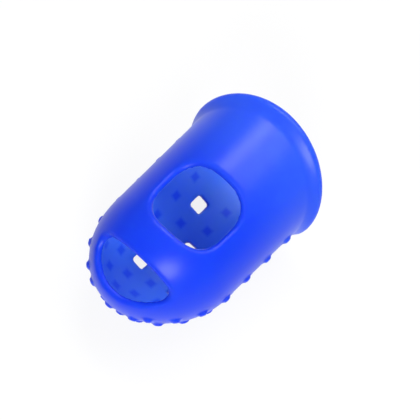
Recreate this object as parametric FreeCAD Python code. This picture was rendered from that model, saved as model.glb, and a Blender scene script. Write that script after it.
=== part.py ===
"""Rubber finger tip: a short silicone thimble with a grippy pad side and an open nail side.

It is moulded in one piece. While it is modelled, the finger's axis is +Z with the closed tip
up, the nail side faces +Y and the pad side faces -Y. The last step lays it on its pad side.
"""
import FreeCAD, Part
import math
import os

V = FreeCAD.Vector
UP = V(0, 0, 1)
MIDDLE = V(0, 0, 0)

# The tube and its round end
tube_radius_mouth = 10.15    # outer radius beside the lip
tube_radius_tip = 9.85       # outer radius where the dome starts
straight_length = 18.8       # from the mouth's pad side to the start of the dome
wall = 1.0

# The mouth: level under the pad, then running down to the nail side
pad_level = 1.35             # height of the mouth at the pad
nail_drop = 5.43             # how much further the nail side reaches
drop_start = -0.35           # where the drop starts, from -1 at the pad to 1 at the nail
nail_drop_power = 1.25       # how gently it starts
mouth_stations = 48          # points that carry the mouth's curve

# The rolled lip and the flare that leads into it
lip_height = 1.6
lip_overhang = 0.87          # how far it stands out beyond the tube
lip_round = 0.6              # radius of its outer edge
flare_angle = 40.0           # where the roll turns into the flare
flare_sink = 0.1             # how far the end of the flare dips under the skin
bore_allowance = 0.08        # what the bore still cuts off the lip's inner side

# The window over the finger nail
window_start = 8.6           # height of its lower edge
window_length = 10.05
window_angle = 67.0          # share of the way round that it takes, in degrees
window_corner = 3.9

# The half-moon opening that the nail sticks out of
moon_start = 23.4            # height of its straight edge
moon_depth = 2.3             # distance of its curved edge from the axis, in the middle
moon_reach = 7.4             # how far that edge comes forward by the dome's full width
moon_corner = 1.6

# Soft edges of both openings
edge_round = 0.5             # outside, where a finger rubs on them
inner_edge_round = 0.2

# The nubs of the pad side, in staggered columns
nub_width = 1.4
nub_top_width = 0.9
nub_height = 0.36
nub_edge = 0.12              # the bevel that softens its top
nub_root = 0.3               # how deep a nub's block reaches into the wall
column_angle = 22.0
side_columns = 4             # columns on each side of the middle one
column_room = 1.5            # nub widths between columns; with less, only the middle one goes on
row_pitch = 3.95
first_row = 5.45             # height of the first row of the middle column
row_overrun = 1.0            # how far a row of the tube may sit over the start of the dome
dome_row_angle = 10.2        # from one row to the next over the dome
dome_first_angle = 13.0
dome_last_angle = 80.0

# The vents, which take the place of five nubs
vent_width = 2.05
vent_length = 2.15
vent_corner = 0.3
vent_first_row = 1
vent_row_step = 3

# How it lies on a table: the lip gives a little where it bears on it, and the last nub less
rest_flat = 0.42
nub_rest_flat = 0.08

same_place = 1e-3            # points that are nearer than this are one
edge_probes = (0.15, 0.5, 0.85)    # where along an edge its place is looked at


def profile_face(edges):
    return Part.Face(Part.Wire(edges))


def middle_of(edge):
    return edge.valueAt((edge.FirstParameter + edge.LastParameter) / 2)


def tube_radius(height):
    """Outer radius of the drafted tube at a height."""
    share = height / straight_length
    return tube_radius_mouth + (tube_radius_tip - tube_radius_mouth) * share


def mouth_level(toward_nail):
    """Height of the mouth, from -1 at the pad to 1 at the nail."""
    share = max(toward_nail - drop_start, 0.0) / (1 - drop_start)
    return pad_level - nail_drop * share ** nail_drop_power


def domed_plug(inset):
    """The tube with its dome as one filled solid, smaller all round by the inset."""
    bottom = -nail_drop - lip_height
    tip_radius = tube_radius_tip - inset
    start = V(0, 0, bottom)
    foot = V(0, tube_radius(bottom) - inset, bottom)
    shoulder = V(0, tip_radius, straight_length)
    crown = V(0, 0, straight_length + tip_radius)
    half = math.radians(45)
    bend = V(0, tip_radius * math.cos(half), straight_length + tip_radius * math.sin(half))
    face = profile_face([
        Part.makeLine(start, foot),
        Part.makeLine(foot, shoulder),
        Part.Arc(shoulder, bend, crown).toShape(),
        Part.makeLine(crown, start),
    ])
    return face.revolve(MIDDLE, UP, 360)


def below_the_mouth():
    """What is cut off the tube under the mouth's curve, seen from the side."""
    reach = tube_radius_mouth + lip_overhang
    steps = mouth_stations // 2
    points = []
    for i in range(steps + 1):
        y = reach * (2 * i / steps - 1)
        points.append(V(-2 * reach, y, mouth_level(y / reach) + lip_height / 2))
    curve = Part.BSplineCurve()
    curve.interpolate(points)
    low = -2 * (nail_drop + lip_height)
    left = V(-2 * reach, -reach, low)
    right = V(-2 * reach, reach, low)
    face = profile_face([
        curve.toShape(),
        Part.makeLine(points[-1], right),
        Part.makeLine(right, left),
        Part.makeLine(left, points[0]),
    ])
    return face.extrude(V(4 * reach, 0, 0))


def lip_section():
    """Section of the lip and flare on the nail side, with the mouth's level at height 0."""
    inner = tube_radius_mouth - wall - bore_allowance
    outer = tube_radius_mouth + lip_overhang
    middle = (inner + outer) / 2
    half_height = lip_height / 2
    turn = math.radians(flare_angle)
    root = tube_radius_mouth - flare_sink

    def roll(angle):
        return V(0, outer - lip_round + lip_round * math.cos(angle),
                 half_height + lip_round * math.sin(angle))

    neck = roll(turn)
    flare_radius = (neck.y - root) / (1 - math.cos(turn))
    flare_centre = V(0, root + flare_radius, neck.z + flare_radius * math.sin(turn))

    def flare(angle):
        return flare_centre - V(0, math.cos(angle), math.sin(angle)) * flare_radius

    top_inner = V(0, inner, flare_centre.z)
    side_inner = V(0, inner, half_height)
    side_outer = V(0, outer, half_height)
    oval = Part.Ellipse(side_outer, V(0, middle, 0), V(0, middle, half_height))
    lower_half = Part.Arc(oval, math.pi, 2 * math.pi).toShape()
    if middle_of(lower_half).z > half_height:
        lower_half = Part.Arc(oval, 0, math.pi).toShape()
    return Part.Wire(Part.__sortEdges__([
        lower_half,
        Part.Arc(side_outer, roll(turn / 2), neck).toShape(),
        Part.Arc(neck, flare(turn / 2), flare(0)).toShape(),
        Part.makeLine(flare(0), top_inner),
        Part.makeLine(top_inner, side_inner),
    ]))


def rolled_lip():
    """The lip's section carried round the mouth, always upright and facing outwards."""
    points = []
    for i in range(mouth_stations):
        angle = 2 * math.pi * i / mouth_stations
        points.append(V(tube_radius_mouth * math.sin(angle), tube_radius_mouth * math.cos(angle),
                        mouth_level(math.cos(angle))))
    curve = Part.BSplineCurve()
    curve.interpolate(points, PeriodicFlag=True)
    section = lip_section()
    section.translate(V(0, 0, mouth_level(1.0)))
    sweep = Part.BRepOffsetAPI.MakePipeShell(Part.Wire(curve.toShape()))
    sweep.setBiNormalMode(UP)
    sweep.add(section, False, False)
    sweep.build()
    sweep.makeSolid()
    return sweep.shape()


def hollow_tube():
    """Tube, dome and lip as one thin wall, open at the mouth."""
    bore = domed_plug(wall)
    tube = domed_plug(0).cut(below_the_mouth()).cut(bore)
    lip = rolled_lip().cut(bore)
    return tube.fuse(lip).removeSplitter()


def window_cutter():
    """A sector of a ring with round corners: its sides point at the axis."""
    inner = min(tube_radius_mouth, tube_radius_tip) - 2 * wall
    outer = max(tube_radius_mouth, tube_radius_tip) + wall
    half_width = inner * math.sin(math.radians(window_angle / 2))
    corner = min(window_corner, half_width - inner_edge_round)
    face = profile_face([
        Part.makeLine(V(0, inner, window_start), V(0, outer, window_start)),
        Part.makeLine(V(0, outer, window_start), V(0, outer, window_start + window_length)),
        Part.makeLine(V(0, outer, window_start + window_length),
                      V(0, inner, window_start + window_length)),
        Part.makeLine(V(0, inner, window_start + window_length), V(0, inner, window_start)),
    ])
    face.rotate(MIDDLE, UP, -window_angle / 2)
    sector = face.revolve(MIDDLE, UP, window_angle)
    corners = [edge for edge in sector.Edges if points_outward(edge)]
    return sector.makeFillet(corner, corners)


def points_outward(edge):
    """True for a straight, level edge, which in the sector runs along a radius."""
    if not isinstance(edge.Curve, (Part.Line, Part.LineSegment)):
        return False
    start, end = edge.Vertexes[0].Point, edge.Vertexes[1].Point
    return abs(start.z - end.z) < same_place


def moon_cutter():
    """Above a level floor, all that lies nailward of a curved wall."""
    half = tube_radius_tip
    front = 2 * tube_radius_tip
    top = straight_length + 2 * tube_radius_tip
    left = V(-half, moon_depth + moon_reach, moon_start)
    right = V(half, moon_depth + moon_reach, moon_start)
    middle = V(0, moon_depth, moon_start)
    front_right = V(half, front, moon_start)
    front_left = V(-half, front, moon_start)
    floor = profile_face([
        Part.Arc(left, middle, right).toShape(),
        Part.makeLine(right, front_right),
        Part.makeLine(front_right, front_left),
        Part.makeLine(front_left, left),
    ])
    block = floor.extrude(V(0, 0, top - moon_start))
    back = [edge for edge in block.Edges if is_back_of_floor(edge)]
    return block.makeFillet(moon_corner, back)


def is_back_of_floor(edge):
    middle = middle_of(edge)
    return abs(middle.z - moon_start) < same_place and abs(middle.y - moon_depth) < same_place


def rim_edges(shape, cutter, depth):
    """The edges that a cutter left in the wall at one depth below the outer skin."""
    found = []
    for edge in shape.Edges:
        span = edge.LastParameter - edge.FirstParameter
        points = [edge.valueAt(edge.FirstParameter + share * span) for share in edge_probes]
        if all(abs(skin_depth(point) - depth) < same_place for point in points):
            gaps = [Part.Vertex(point).distToShape(cutter.Shells[0])[0] for point in points]
            if max(gaps) < same_place:
                found.append(edge)
    return found


def skin_depth(point):
    """How far a point lies below the outer skin."""
    flat = math.hypot(point.x, point.y)
    if point.z > straight_length:
        return tube_radius_tip - math.hypot(flat, point.z - straight_length)
    return tube_radius(point.z) - flat


def open_and_soften(body, cutter):
    """Cut an opening and round its outer rim, and then its inner one."""
    body = body.cut(cutter)
    body = body.makeFillet(edge_round, rim_edges(body, cutter, 0))
    return body.makeFillet(inner_edge_round, rim_edges(body, cutter, wall))


def skin_spot(column, row):
    """Centre and outward direction of a lattice site, counted from the first row at the pad."""
    around = math.radians(column * column_angle)
    facing = V(math.sin(around), -math.cos(around), 0)
    height = first_row + row * row_pitch / 2
    if row < tube_rows():
        return facing * tube_radius(height) + UP * height, facing
    climb = math.radians(dome_first_angle + (row - tube_rows()) * dome_row_angle)
    outward = facing * math.cos(climb) + UP * math.sin(climb)
    return outward * tube_radius_tip + UP * straight_length, outward


def tube_rows():
    """Rows on the straight part, with one that may sit just over the start of the dome."""
    return int((straight_length + row_overrun - first_row) // (row_pitch / 2)) + 1


def dome_rows():
    return int((dome_last_angle - dome_first_angle) // dome_row_angle) + 1


def columns_of_row(row):
    """The columns of a row: every other one, and the middle one alone where they crowd."""
    columns = [k for k in range(-side_columns, side_columns + 1) if (k - row) % 2 == 0]
    spot, outward = skin_spot(0, row)
    spacing = math.hypot(spot.x, spot.y) * math.radians(2 * column_angle)
    if spacing < column_room * nub_width:
        columns = [k for k in columns if k == 0]
    return columns


def is_vent(column, row):
    """Five sites, set like the spots of a five on a die, are holes."""
    in_step = (row - vent_first_row) % vent_row_step == 0
    return in_step and row < tube_rows() and abs(column) <= 1


def seat_on_skin(shape, column, row):
    """Move a shape made at the origin so that its +Z points out of the skin, +Y to the tip."""
    spot, outward = skin_spot(column, row)
    around = math.radians(column * column_angle)
    sideways = V(math.cos(around), math.sin(around), 0)
    along = outward.cross(sideways)
    shape = shape.copy()
    shape.Placement = FreeCAD.Placement(FreeCAD.Matrix(
        sideways.x, along.x, outward.x, spot.x,
        sideways.y, along.y, outward.y, spot.y,
        sideways.z, along.z, outward.z, spot.z))
    return shape


def rectangle(width, length, height):
    half_w, half_l = width / 2, length / 2
    return [V(-half_w, -half_l, height), V(half_w, -half_l, height),
            V(half_w, half_l, height), V(-half_w, half_l, height)]


def flat_face(corners):
    return Part.Face(Part.makePolygon(corners + corners[:1]))


def nub():
    """A low square stud with sloping sides and a soft top edge, rooted in the wall."""
    shoulder_width = nub_top_width + 2 * nub_edge
    slope = (nub_width - shoulder_width) / (nub_height - nub_edge)
    levels = [(nub_width + slope * nub_root, -nub_root),
              (shoulder_width, nub_height - nub_edge),
              (nub_top_width, nub_height)]
    rings = [rectangle(width, width, z) for width, z in levels]
    faces = [flat_face(rings[0]), flat_face(rings[-1])]
    for lower, upper in zip(rings, rings[1:]):
        for i in range(len(lower)):
            faces.append(flat_face([lower[i - 1], lower[i], upper[i], upper[i - 1]]))
    return Part.makeSolid(Part.makeShell(faces))


def vent_punch():
    """A square punch with round corners that goes right through the wall."""
    foot = flat_face(rectangle(vent_width, vent_length, -2 * wall))
    block = foot.extrude(V(0, 0, 3 * wall))
    upright = [edge for edge in block.Edges if abs(edge.Vertexes[0].Z - edge.Vertexes[1].Z) > wall]
    return block.makeFillet(vent_corner, upright)


def grip_and_vents():
    """Every nub and every vent punch of the pad side, each in its place."""
    nubs, punches = [], []
    for row in range(tube_rows() + dome_rows()):
        for column in columns_of_row(row):
            if is_vent(column, row):
                punches.append(seat_on_skin(vent_punch(), column, row))
            else:
                nubs.append(seat_on_skin(nub(), column, row))
    return nubs, punches


def finger_tip():
    body = hollow_tube()
    body = open_and_soften(body, window_cutter())
    body = open_and_soften(body, moon_cutter())
    nubs, punches = grip_and_vents()
    return body.fuse(nubs).cut(punches)


def rest_angle():
    """How far the closed end tips down until the last nub of the middle column bears."""
    last_row = tube_rows() - 1
    last_row -= last_row % 2
    spot, outward = skin_spot(0, last_row)
    bearing_nub = spot + outward * (nub_height - nub_rest_flat) + UP * nub_top_width / 2
    lip_bearing = tube_radius_mouth + lip_overhang - rest_flat
    return math.atan2(lip_bearing + bearing_nub.y, bearing_nub.z - pad_level - lip_height / 2)


def lay_down(body):
    """Nail side up, tip towards -Y, standing on the lip's flat and the nubs."""
    body = body.copy()
    body.rotate(MIDDLE, V(1, 0, 0), 90 + math.degrees(rest_angle()))
    box = body.optimalBoundingBox()
    body.translate(V(-box.Center.x, -box.Center.y, -box.ZMin - rest_flat))
    reach = box.DiagonalLength
    table = Part.makeBox(2 * reach, 2 * reach, reach, V(-reach, -reach, -reach))
    return body.cut(table)


if __name__ == "__main__":
    os.makedirs("parts", exist_ok=True)
    lay_down(finger_tip()).exportStep("parts/finger_tip.step")
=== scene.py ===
import bpy
import math
from mathutils import Matrix, Vector


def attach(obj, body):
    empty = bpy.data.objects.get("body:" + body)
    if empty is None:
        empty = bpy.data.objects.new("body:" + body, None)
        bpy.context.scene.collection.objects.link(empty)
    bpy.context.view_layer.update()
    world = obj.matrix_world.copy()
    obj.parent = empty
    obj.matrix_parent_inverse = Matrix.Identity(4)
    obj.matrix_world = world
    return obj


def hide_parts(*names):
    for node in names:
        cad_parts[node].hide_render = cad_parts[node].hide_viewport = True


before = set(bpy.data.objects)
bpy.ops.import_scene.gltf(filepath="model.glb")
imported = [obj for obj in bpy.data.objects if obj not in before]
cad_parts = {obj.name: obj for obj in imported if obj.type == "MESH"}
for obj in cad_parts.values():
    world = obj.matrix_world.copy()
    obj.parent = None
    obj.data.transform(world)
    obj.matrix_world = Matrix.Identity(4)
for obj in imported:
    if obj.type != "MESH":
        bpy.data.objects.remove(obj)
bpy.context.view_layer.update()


# The finger tip: a thin tube with a closed round end and a rolled lip round its mouth, in soft
# silicone rubber, moulded in one shot. It is modelled standing up in millimetres, tip up and
# nail side to +Y, then laid down and brought to metres.
MM = 0.001

radius_mouth = 10.15
radius_dome = 9.87
dome_start = 17.2
dome_height = 11.43
wall = 1.0

lip_height = 1.6
lip_width = 1.87
lip_outer = 11.02
lip_round = 0.6
flare_angle = 40.0
flare_sink = 0.15

lip_steps = 10
neck_steps = 4
flare_steps = 6
tube_steps = 12
dome_steps = 24
stations = 192
merge_gap = 1e-4
shortest_edge = 1e-5


def tube_radius(height):
    """The outer radius of the tapering tube at a height above its mouth."""
    return radius_mouth + (radius_dome - radius_mouth) * height / dome_start


def arc(across, up, reach, rise, first, last, steps):
    """Points of an elliptic arc, from one angle to another in degrees."""
    angles = [math.radians(first + (last - first) * i / steps) for i in range(steps + 1)]
    return [(across + reach * math.cos(a), up + rise * math.sin(a)) for a in angles]


def only(obj):
    """Leave one object selected and active."""
    bpy.ops.object.select_all(action="DESELECT")
    obj.select_set(True)
    bpy.context.view_layer.objects.active = obj


# The wall in section: round the lip, up the flare and the tube, over the dome and down the bore.
half_lip = lip_height / 2
turn_out = math.radians(flare_angle)
neck = (lip_outer - lip_round + lip_round * math.cos(turn_out),
        half_lip + lip_round * math.sin(turn_out))
flare_foot = radius_mouth - flare_sink
flare_radius = (neck[0] - flare_foot) / (1 - math.cos(turn_out))
flare_top = neck[1] + flare_radius * math.sin(turn_out)
flare_end = math.degrees(math.acos(1 - flare_sink / flare_radius))
tube_heights = [flare_top + (dome_start - flare_top) * i / tube_steps
                for i in range(1, tube_steps)]
section = (
    arc(lip_outer - lip_width / 2, half_lip, lip_width / 2, half_lip, 180, 360, lip_steps)
    + arc(lip_outer - lip_round, half_lip, lip_round, lip_round, 0, flare_angle, neck_steps)[1:]
    + arc(flare_foot + flare_radius, flare_top, flare_radius, flare_radius,
          180 + flare_angle, 180 + flare_end, flare_steps)[1:]
    + [(tube_radius(height), height) for height in tube_heights]
    + arc(0, dome_start, radius_dome, dome_height, 0, 90, dome_steps)
    + arc(0, dome_start, radius_dome - wall, dome_height - wall, 90, 0, dome_steps)
    + [(tube_radius(height) - wall, height) for height in reversed(tube_heights)]
)

bpy.ops.object.select_all(action="DESELECT")
bpy.ops.mesh.primitive_plane_add(size=1, location=(section[0][0], 0, section[0][1]))
tip = bpy.context.object
tip.name = "silicone_finger_tip"
bpy.ops.object.transform_apply(location=True)
bpy.ops.object.mode_set(mode="EDIT")
bpy.ops.mesh.select_all(action="SELECT")
bpy.ops.mesh.merge(type="CENTER")
for here, there in zip(section, section[1:] + section[:1]):
    bpy.ops.mesh.extrude_vertices_move(TRANSFORM_OT_translate={
        "value": (there[0] - here[0], 0, there[1] - here[1])})
bpy.ops.mesh.select_all(action="SELECT")
bpy.ops.mesh.remove_doubles(threshold=merge_gap)
bpy.ops.mesh.select_mode(type="EDGE")
bpy.ops.mesh.select_all(action="DESELECT")
bpy.ops.object.mode_set(mode="OBJECT")

# The edge on the axis goes before the section is spun, because it would only spin on the spot.
for edge in tip.data.edges:
    edge.select = all(tip.data.vertices[v].co.x < merge_gap for v in edge.vertices)
bpy.ops.object.mode_set(mode="EDIT")
bpy.ops.mesh.delete(type="EDGE")
bpy.ops.mesh.select_all(action="SELECT")
bpy.ops.mesh.spin(steps=stations, angle=2 * math.pi, center=(0, 0, 0), axis=(0, 0, 1))
bpy.ops.mesh.select_all(action="SELECT")
bpy.ops.mesh.remove_doubles(threshold=merge_gap)
bpy.ops.mesh.dissolve_degenerate(threshold=shortest_edge)
bpy.ops.mesh.select_all(action="SELECT")
bpy.ops.mesh.normals_make_consistent(inside=False)
bpy.ops.object.mode_set(mode="OBJECT")

# The mouth isn't flat: it runs further back on the nail side, and the tube above takes it up.
pad_level = 1.35
nail_drop = 5.43
drop_start = -0.35
drop_power = 1.25
drop_fades_from, drop_fades_to = 3.5, 9.0
on_axis = 1e-6


def smooth_step(value, low, high):
    """0 below low and 1 above high, with an even turn at both ends."""
    share = min(max((value - low) / (high - low), 0.0), 1.0)
    return share * share * (3 - 2 * share)


for vertex in tip.data.vertices:
    toward_nail = vertex.co.y / max(math.hypot(vertex.co.x, vertex.co.y), on_axis)
    drop = max(toward_nail - drop_start, 0.0) / (1 - drop_start)
    level = pad_level - nail_drop * drop ** drop_power
    vertex.co.z += level * (1 - smooth_step(vertex.co.z, drop_fades_from, drop_fades_to))

# Nubs for grip and vents for air share one staggered lattice, over the pad side and the dome.
nub_width = 1.4
nub_top_width = 0.95
nub_height = 0.38
nub_root = 0.3
nub_bevel, nub_bevel_steps = 0.14, 3
column_angle = 22.0
column_room = 1.5
side_columns = 4
row_rise = 1.975
first_row = 5.45
tube_rows = 8
dome_rows = 7
dome_first_angle = 19.5
dome_row_angle = 9.3

vent_width = 2.05
vent_length = 2.15
vent_reach = 4 * wall
vent_first_row, vent_row_step = 1, 3
vent_columns = 1


def row_height(row):
    """The height of a lattice row: even steps up the tube, then even angles over the dome."""
    if row < tube_rows:
        return first_row + row * row_rise
    angle = math.radians(dome_first_angle + (row - tube_rows) * dome_row_angle)
    return dome_start + dome_height * math.sin(angle)


def seat(column, row):
    """The place on the skin of a lattice site, as a matrix with +Z out and +Y to the tip."""
    around = math.radians(column * column_angle)
    facing = Vector((math.sin(around), -math.cos(around), 0))
    sideways = Vector((math.cos(around), math.sin(around), 0))
    height = row_height(row)
    rise = max(height - dome_start, 0.0) / dome_height
    pull_in = math.sqrt(1 - rise * rise)
    radius = tube_radius(height) if rise == 0 else radius_dome * pull_in
    outward = (facing * pull_in / radius_dome + Vector((0, 0, rise / dome_height))).normalized()
    matrix = Matrix((sideways, outward.cross(sideways), outward)).transposed().to_4x4()
    matrix.translation = facing * radius + Vector((0, 0, height))
    return matrix


nub_places, vent_places = [], []
for row in range(tube_rows + dome_rows):
    middle = seat(0, row).translation
    room = math.hypot(middle.x, middle.y) * math.radians(2 * column_angle)
    for column in range(-side_columns, side_columns + 1):
        if (column - row) % 2 or (room < column_room * nub_width and column):
            continue
        is_vent = (row < tube_rows and row % vent_row_step == vent_first_row
                   and abs(column) <= vent_columns)
        (vent_places if is_vent else nub_places).append(seat(column, row))

bpy.ops.mesh.primitive_cube_add(size=1, location=(0, 0, (nub_height - nub_root) / 2),
                                scale=(nub_width, nub_width, nub_height + nub_root))
nub = bpy.context.object
bpy.ops.object.transform_apply(location=True, scale=True)
for vertex in nub.data.vertices:
    if vertex.co.z > 0:
        vertex.co.x *= nub_top_width / nub_width
        vertex.co.y *= nub_top_width / nub_width
bpy.ops.object.mode_set(mode="EDIT")
bpy.ops.mesh.select_all(action="SELECT")
bpy.ops.mesh.bevel(offset=nub_bevel, segments=nub_bevel_steps)
bpy.ops.object.mode_set(mode="OBJECT")


def copies(pattern, places):
    """Copies of an object at each place, joined into one, and the pattern removed."""
    made = []
    for place in places:
        copy = pattern.copy()
        copy.data = pattern.data.copy()
        bpy.context.collection.objects.link(copy)
        copy.data.transform(place)
        made.append(copy)
    only(made[0])
    for copy in made:
        copy.select_set(True)
    bpy.ops.object.join()
    bpy.data.objects.remove(pattern)
    return bpy.context.object


nubs = copies(nub, nub_places)

bpy.ops.mesh.primitive_cube_add(size=1, scale=(vent_width, vent_length, vent_reach))
vent = bpy.context.object
bpy.ops.object.transform_apply(scale=True)
vent_pins = copies(vent, vent_places)

# The window over the nail: a rounded cutter that widens outward, so its rim is sloped.
window_middle = 13.55
window_width = 9.5
window_length = 9.8
window_side_flare = 1.05
window_end_flare = 0.35
window_side_depth = 7.41
window_end_depth = 8.86
window_corner, window_corner_steps = 2.9, 12
window_base, window_reach = 6.4, 6.0


def window_size(depth):
    """Width and length of the window's cutter at a distance from the axis plane."""
    return (window_width + 2 * window_side_flare * (depth - window_side_depth),
            window_length + 2 * window_end_flare * (depth - window_end_depth))


inner_size, outer_size = window_size(window_base), window_size(window_base + window_reach)
bpy.ops.mesh.primitive_plane_add(size=1, location=(0, window_base, window_middle),
                                 rotation=(math.pi / 2, 0, 0))
window = bpy.context.object
window.scale = (*inner_size, 1)
bpy.ops.object.transform_apply(location=True, rotation=True, scale=True)
bpy.ops.object.mode_set(mode="EDIT")
bpy.ops.mesh.select_all(action="SELECT")
bpy.ops.mesh.bevel(offset=window_corner, segments=window_corner_steps, affect="VERTICES")
bpy.ops.mesh.select_all(action="SELECT")
bpy.ops.mesh.extrude_region_move(TRANSFORM_OT_translate={"value": (0, window_reach, 0)})
bpy.ops.transform.resize(value=(outer_size[0] / inner_size[0], 1, outer_size[1] / inner_size[1]),
                         center_override=(0, window_base + window_reach, window_middle))
bpy.ops.mesh.select_all(action="SELECT")
bpy.ops.mesh.normals_make_consistent(inside=False)
bpy.ops.object.mode_set(mode="OBJECT")

# The half moon in the dome: a round cutter along the finger, with a flat rounded end.
moon_start = 23.45
moon_radius = 10.256
moon_depth = 2.4
moon_reach = 12
moon_sides = 128
moon_corner, moon_corner_steps = 1.6, 8
level_gap = 0.01

bpy.ops.mesh.primitive_cylinder_add(
    vertices=moon_sides, radius=moon_radius, depth=moon_reach,
    location=(0, moon_depth + moon_radius, moon_start + moon_reach / 2))
moon = bpy.context.object
bpy.ops.object.transform_apply(location=True)
bpy.ops.object.mode_set(mode="EDIT")
bpy.ops.mesh.select_mode(type="EDGE")
bpy.ops.mesh.select_all(action="DESELECT")
bpy.ops.object.mode_set(mode="OBJECT")
for edge in moon.data.edges:
    edge.select = all(moon.data.vertices[v].co.z < moon_start + level_gap for v in edge.vertices)
bpy.ops.object.mode_set(mode="EDIT")
bpy.ops.mesh.bevel(offset=moon_corner, segments=moon_corner_steps)
bpy.ops.object.mode_set(mode="OBJECT")


def cut(body, cutter):
    """Take one object's shape out of another, and remove the cutter."""
    only(body)
    bpy.ops.object.modifier_add(type="BOOLEAN")
    body.modifiers[-1].object = cutter
    body.modifiers[-1].operation = "DIFFERENCE"
    body.modifiers[-1].solver = "MANIFOLD"
    bpy.ops.object.modifier_apply(modifier=body.modifiers[-1].name)
    bpy.data.objects.remove(cutter)


for cutter in (window, moon, vent_pins):
    cut(tip, cutter)

# The nubs grow out of the skin: one even mesh runs over both, as in one moulding.
voxel = 0.23
only(tip)
nubs.select_set(True)
bpy.ops.object.join()
bpy.ops.object.modifier_add(type="REMESH")
tip.modifiers[-1].mode = "VOXEL"
tip.modifiers[-1].voxel_size = voxel
bpy.ops.object.modifier_apply(modifier=tip.modifiers[-1].name)

# Soft rims: the silicone is rounded off round the window and the moon, and a little everywhere.
rim_reach = 0.9
rims_above = 1
rim_passes, skin_passes = 20, 2
smooth_share = 0.5
window_side_skin, window_end_skin = 8.0, 9.4


def window_distance(spot):
    """How far a point is from the window's outline, measured across the opening."""
    side = abs(spot.x) - (window_size(window_side_skin)[0] / 2 - window_corner)
    end = abs(spot.z - window_middle) - (window_size(window_end_skin)[1] / 2 - window_corner)
    corner = math.hypot(max(side, 0), max(end, 0)) + min(max(side, end), 0)
    return abs(corner - window_corner)


def moon_distance(spot):
    """How far a point is from the moon's flat edge or from its curved one."""
    across = math.hypot(spot.x, spot.y - moon_depth - moon_radius) - moon_radius
    above = spot.z - moon_start
    if across < 0 and above < 0:
        return -above
    if across < 0 or above < 0:
        to_curve = abs(across) if above > 0 else math.hypot(across, above)
        return min(to_curve, abs(above) + max(across, 0))
    return across


rims = tip.vertex_groups.new(name="rims")
for vertex in tip.data.vertices:
    spot = vertex.co
    if spot.y < rims_above:
        continue
    near = min(window_distance(spot), moon_distance(spot))
    if near < rim_reach:
        rims.add([vertex.index], 1 - smooth_step(near, rim_reach / 2, rim_reach), "REPLACE")


def smooth(passes, group=""):
    """Round the skin off a little more with each pass, all over or within one group."""
    bpy.ops.object.modifier_add(type="SMOOTH")
    tip.modifiers[-1].factor = smooth_share
    tip.modifiers[-1].iterations = passes
    tip.modifiers[-1].vertex_group = group
    bpy.ops.object.modifier_apply(modifier=tip.modifiers[-1].name)


smooth(rim_passes, "rims")
smooth(skin_passes)
tip.vertex_groups.clear()

# Masks for painted light and painted shade, from what a thin wall shows by its thickness: the
# bore gets painted light, and darker squares of painted shade go where nubs back it.
bore_from, bore_full = 0.7 * wall, 0.95 * wall
nubs_below = 5
nub_search = 2.2
square = nub_width / 2
square_from, square_to = square - 0.4, square + 0.15

# The bore mask: where the bore gets painted light.
bore = tip.data.attributes.new("bore", "FLOAT", "POINT")
# The nub mask: where the bore gets painted shade behind a nub.
nub_shade_mask = tip.data.attributes.new("nub_painted_shade", "FLOAT", "POINT")
for vertex in tip.data.vertices:
    spot = vertex.co
    flat = math.hypot(spot.x, spot.y)
    if spot.z < dome_start:
        depth = tube_radius(spot.z) - flat
    else:
        depth = radius_dome * (1 - math.hypot(flat / radius_dome,
                                              (spot.z - dome_start) / dome_height))
    inside = smooth_step(depth, bore_from, bore_full)
    bore.data[vertex.index].value = inside
    if inside == 0 or spot.y > nubs_below:
        continue
    # Darker squares of painted shade behind each nub.
    for place in nub_places:
        if (place.translation - spot).length > nub_search:
            continue
        local = place.inverted() @ spot
        near = max(abs(local.x), abs(local.y))
        nub_shade_mask.data[vertex.index].value = max(nub_shade_mask.data[vertex.index].value,
                                               1 - smooth_step(near, square_from, square_to))

# The closed end leans a little to one side, as the soft piece in the photograph does.
lean_start = 17.0
lean_rise = -0.112
lean_bend = 2.0
for vertex in tip.data.vertices:
    above = vertex.co.z - lean_start
    if above > 0:
        vertex.co.x += lean_rise * (math.hypot(above, lean_bend) - lean_bend)

# It lies on its pad side, on the lip and the middle nub where the dome starts, cut flat at both.
lying_angle = 91.638
lying_place = (0, 12.43, 10.657)
only(tip)
tip.rotation_euler.x = math.radians(lying_angle)
tip.location = lying_place
bpy.ops.object.transform_apply(location=True, rotation=True)
bpy.ops.object.mode_set(mode="EDIT")
bpy.ops.mesh.select_all(action="SELECT")
bpy.ops.mesh.bisect(plane_co=(0, 0, 0), plane_no=(0, 0, 1), use_fill=True, clear_inner=True)
bpy.ops.object.mode_set(mode="OBJECT")
tip.scale = (MM, MM, MM)
bpy.ops.object.transform_apply(scale=True)
bpy.ops.object.shade_smooth()


def linear(hex_colour):
    """An sRGB hex colour as the linear numbers that a shader takes."""
    parts = [int(hex_colour[i:i + 2], 16) / 255 for i in (1, 3, 5)]
    return [c / 12.92 if c <= 0.04045 else ((c + 0.055) / 1.055) ** 2.4 for c in parts] + [1.0]


def node(tree, kind, inputs=None, **settings):
    """Add one shader node. An input is a constant, or another node's output to link."""
    made = tree.nodes.new(kind)
    for name, value in settings.items():
        setattr(made, name, value)
    for name, value in (inputs or {}).items():
        if isinstance(value, bpy.types.NodeSocket):
            tree.links.new(value, made.inputs[name])
        else:
            made.inputs[name].default_value = value
    return made


# Blue translucent silicone from a satin mould. Light through a single wall is painted into the
# colour: painted light makes the bore paler than the skin, painted shade makes the nubs behind
# it look darker, and painted light pales the skin near the mouth.
skin_blue = linear("#0a3ad6")
bore_painted_light_blue = linear("#548cfa")
nub_painted_shade_blue = linear("#3266f4")
mouth_painted_light = 0.22
paleness_from, paleness_to = -2 * MM, 14 * MM
grain_width = 0.6 * MM
grain_depth = 0.02 * MM

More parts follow.
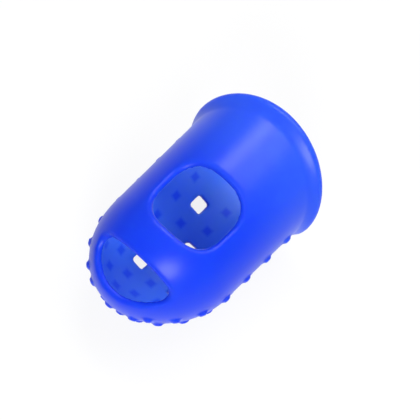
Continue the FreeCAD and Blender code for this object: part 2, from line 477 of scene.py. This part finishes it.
silicone = bpy.data.materials.new("blue_translucent_silicone")
silicone.use_nodes = True
tree = silicone.node_tree
tree.nodes.clear()
position = node(tree, "ShaderNodeTexCoord").outputs["Object"]
grain = node(tree, "ShaderNodeTexNoise", {
    "Vector": position, "Scale": 1 / grain_width, "Detail": 3.0, "Roughness": 0.55})
bump = node(tree, "ShaderNodeBump", {
    "Height": grain.outputs["Fac"], "Strength": 0.15, "Distance": grain_depth})
in_bore = node(tree, "ShaderNodeAttribute", attribute_name="bore")
nub_painted_shade_mask = node(tree, "ShaderNodeAttribute", attribute_name="nub_painted_shade")
# Painted light in the bore, darkened to painted shade where a nub sits behind the wall.
bore_painted_light_and_shade = node(tree, "ShaderNodeMix", {
    0: nub_painted_shade_mask.outputs["Fac"], 6: bore_painted_light_blue, 7: nub_painted_shade_blue}, data_type="RGBA")
axes = node(tree, "ShaderNodeSeparateXYZ", {"Vector": position})
# Painted light: the skin pales toward the mouth.
mouth_painted_light_ramp = node(tree, "ShaderNodeMapRange", {
    "Value": axes.outputs["Y"], "From Min": paleness_from, "From Max": paleness_to,
    "To Min": 0.0, "To Max": mouth_painted_light}, interpolation_type="SMOOTHSTEP")
painted_light_share = node(tree, "ShaderNodeMath", {
    0: in_bore.outputs["Fac"], 1: mouth_painted_light_ramp.outputs["Result"]}, operation="MAXIMUM")
colour = node(tree, "ShaderNodeMix", {
    0: painted_light_share.outputs[0], 6: skin_blue, 7: bore_painted_light_and_shade.outputs[2]}, data_type="RGBA")
rubber = node(tree, "ShaderNodeBsdfPrincipled", {
    "Base Color": colour.outputs[2], "Normal": bump.outputs["Normal"],
    "Roughness": 0.36, "IOR": 1.41, "Specular IOR Level": 0.2,
    "Subsurface Weight": 0.7, "Subsurface Radius": (0.5, 0.8, 2.5), "Subsurface Scale": 1.0 * MM,
    "Coat Weight": 0.25, "Coat Roughness": 0.3, "Coat IOR": 1.41})
node(tree, "ShaderNodeOutputMaterial", {"Surface": rubber.outputs["BSDF"]})
tip.data.materials.clear()
tip.data.materials.append(silicone)
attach(tip, "root")
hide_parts("finger_tip")


# The table: a plain sheet of matt white paper, laid flat. The camera sees it near white, and it
# keeps the soft shadow.
sheet_width = 1600 * MM
white_share = 0.85

bpy.ops.mesh.primitive_plane_add(size=sheet_width)
floor = bpy.context.object
floor.name = "floor"
paper = bpy.data.materials.new("white_paper")
paper.use_nodes = True
tree = paper.node_tree
tree.nodes.clear()
matt = node(tree, "ShaderNodeBsdfDiffuse", {"Color": linear("#f4f4f4")})
glow = node(tree, "ShaderNodeEmission", {"Color": linear("#ffffff"), "Strength": 1.0})
rays = node(tree, "ShaderNodeLightPath")
direct = node(tree, "ShaderNodeMath", {
    0: rays.outputs["Is Camera Ray"], 1: rays.outputs["Is Transmission Ray"]},
    operation="MAXIMUM")
seen = node(tree, "ShaderNodeMath", {
    0: direct.outputs[0], 1: rays.outputs["Is Glossy Ray"]}, operation="MAXIMUM")
share = node(tree, "ShaderNodeMath", {
    0: seen.outputs[0], 1: white_share}, operation="MULTIPLY")
surface = node(tree, "ShaderNodeMixShader", {
    0: share.outputs[0], 1: matt.outputs["BSDF"], 2: glow.outputs["Emission"]})
node(tree, "ShaderNodeOutputMaterial", {"Surface": surface.outputs["Shader"]})
floor.data.materials.append(paper)


# The camera: a close view down on the nail side, with the closed tip turned to the lower left.
# It is 203 mm away, so the near wall looks a little larger than the far one.
view_azimuth = 28.4
view_elevation = 67.6
view_roll = 15.6
view_distance = 203 * MM
view_target = Vector((-0.16, 2.66, 10.38)) * MM
sensor_width = 36.0
lens_length = 128.57

turn, climb = math.radians(view_azimuth), math.radians(view_elevation)
toward_camera = Vector((math.sin(turn) * math.cos(climb), -math.cos(turn) * math.cos(climb),
                        math.sin(climb)))
bpy.ops.object.camera_add(location=view_target + toward_camera * view_distance)
camera = bpy.context.object
camera.name = "camera"
camera.rotation_euler = (toward_camera.to_track_quat("Z", "Y").to_matrix()
                         @ Matrix.Rotation(math.radians(view_roll), 3, "Z")).to_euler()
camera.data.sensor_width = sensor_width
camera.data.lens = lens_length
camera.data.clip_start = 10 * MM
camera.data.clip_end = 20000 * MM
bpy.context.scene.camera = camera


# The light: an even white surround and three round soft boxes. The key lamp's reflection is the
# pale patch between the window and the mouth.
world = bpy.data.worlds.new("studio")
bpy.context.scene.world = world
world.use_nodes = True
tree = world.node_tree
tree.nodes.clear()
fill = node(tree, "ShaderNodeBackground", {"Color": linear("#ffffff"), "Strength": 0.36})
node(tree, "ShaderNodeOutputWorld", {"Surface": fill.outputs["Background"]})


def lamp(name, place_mm, width_mm, watts):
    """A round soft box that faces the object."""
    place = Vector(place_mm) * MM
    bpy.ops.object.light_add(type="AREA", location=place)
    made = bpy.context.object
    made.name = name
    made.data.shape = "DISK"
    made.data.size = width_mm * MM
    made.data.energy = watts
    made.rotation_euler = (place - view_target).to_track_quat("Z", "Y").to_euler()


lamp("key", (-43, 46, 127), 46, 0.056)
lamp("front", (75, -95, 105), 72, 0.17)
lamp("overhead", (30, 130, 240), 200, 0.31)

bpy.context.scene.view_settings.view_transform = "Standard"
